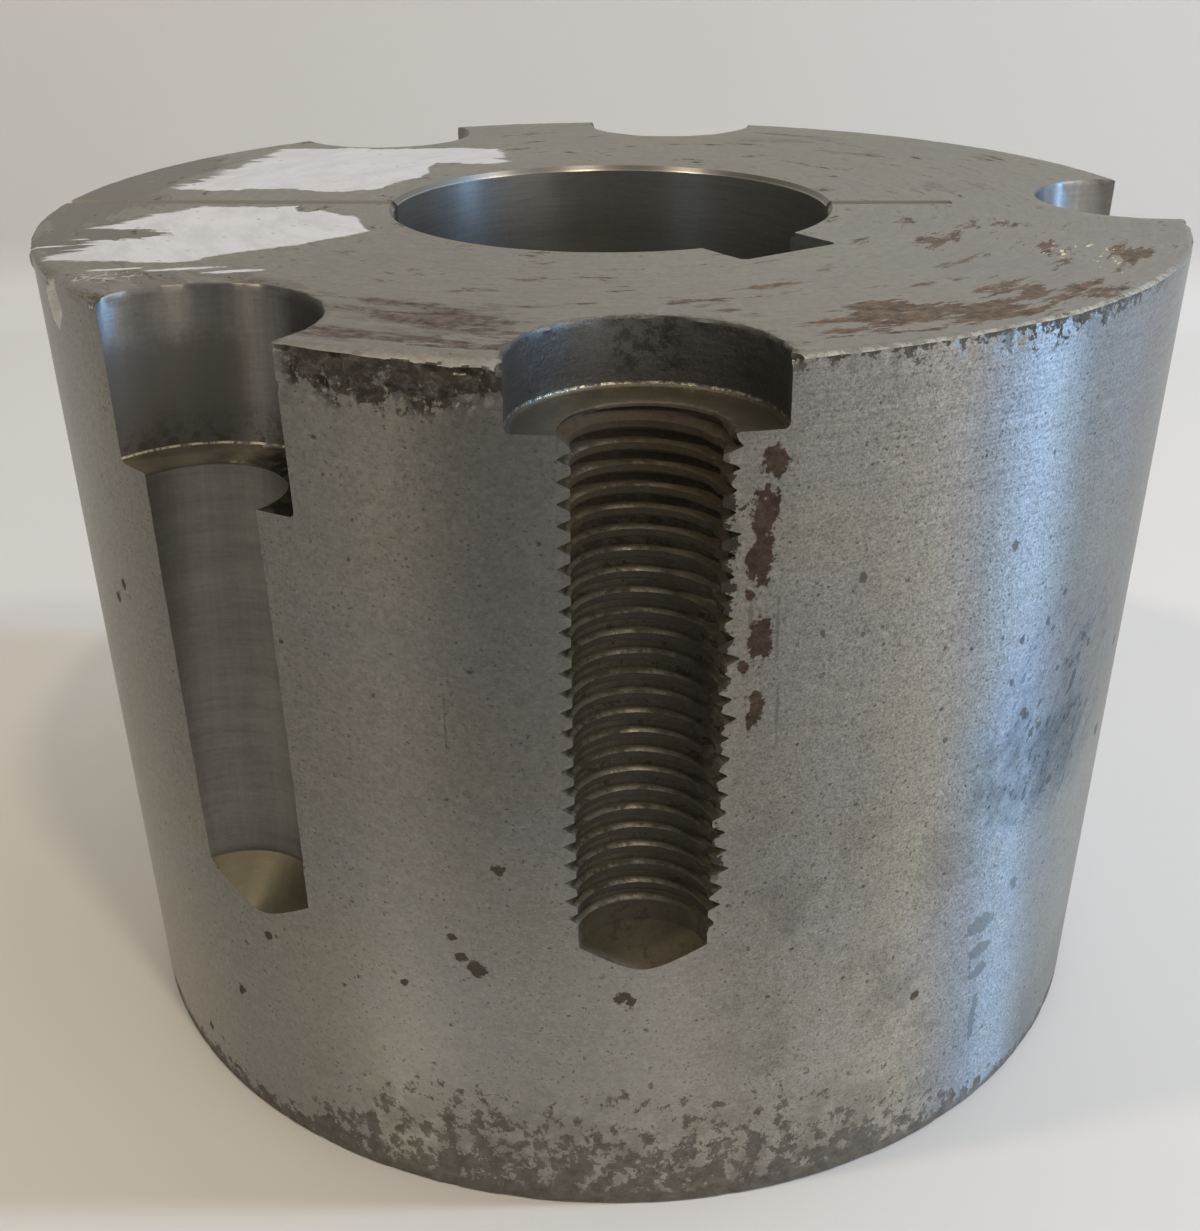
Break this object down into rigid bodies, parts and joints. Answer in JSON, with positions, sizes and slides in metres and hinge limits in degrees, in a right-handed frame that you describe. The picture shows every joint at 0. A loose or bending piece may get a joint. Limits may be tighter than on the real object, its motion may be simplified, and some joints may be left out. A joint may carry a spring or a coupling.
{
  "type": "taper bush",
  "caption": "Split taper bush with a keyed clamping bore, smooth seated installing half-holes and threaded jacking half-holes round its large end.",
  "frame": {"origin": "centre of the small end's face, on the shaft's axis", "axes": "+Z along the shaft's axis from the small end to the large end, with the through split opening towards -X"},
  "size_m": [0.1615, 0.1614, 0.1143],
  "materials": {
    "machined_iron": "turned grey cast iron, stained and lightly rusted, with chalk marks beside the split"
  },
  "bodies": {
    "root": {"bush": "machined_iron"}
  },
  "joints": []
}
